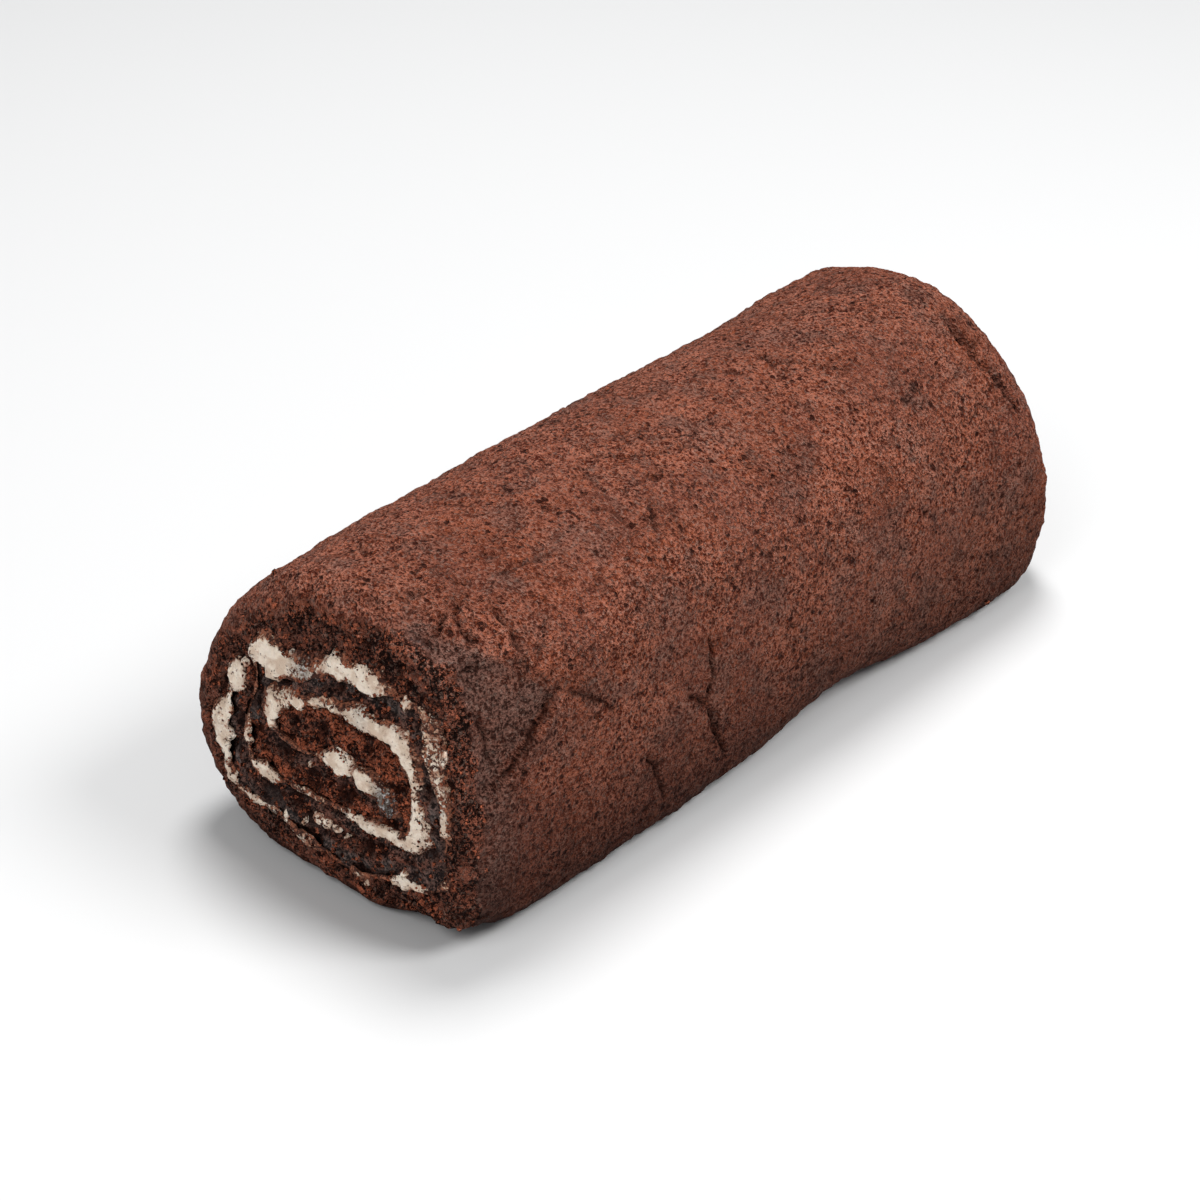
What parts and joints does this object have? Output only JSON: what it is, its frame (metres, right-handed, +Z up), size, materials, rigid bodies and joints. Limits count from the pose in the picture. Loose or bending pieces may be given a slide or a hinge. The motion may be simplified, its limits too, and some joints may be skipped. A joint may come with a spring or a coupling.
{
  "type": "swiss roll cake",
  "caption": "Chocolate swiss roll: a loaf-shaped sponge roll on a flat base, its cut end showing a squarish spiral of vanilla cream.",
  "frame": {"origin": "middle of the underside of the whole cake's bounding box", "axes": "+Z up; the roll lies along Y, with its cut swirl end facing -Y and its dented long side facing +X"},
  "size_m": [0.089, 0.2348, 0.0775],
  "materials": {
    "sponge": "matte baked chocolate sponge, dark brown skin and darker open crumb; matte plastic stands in for it",
    "cream": "soft off-white whipped cream with a faint sheen; gloss plastic stands in for it"
  },
  "bodies": {
    "root": {"sponge_sheet": "sponge", "cream_filling": "cream"}
  },
  "joints": []
}
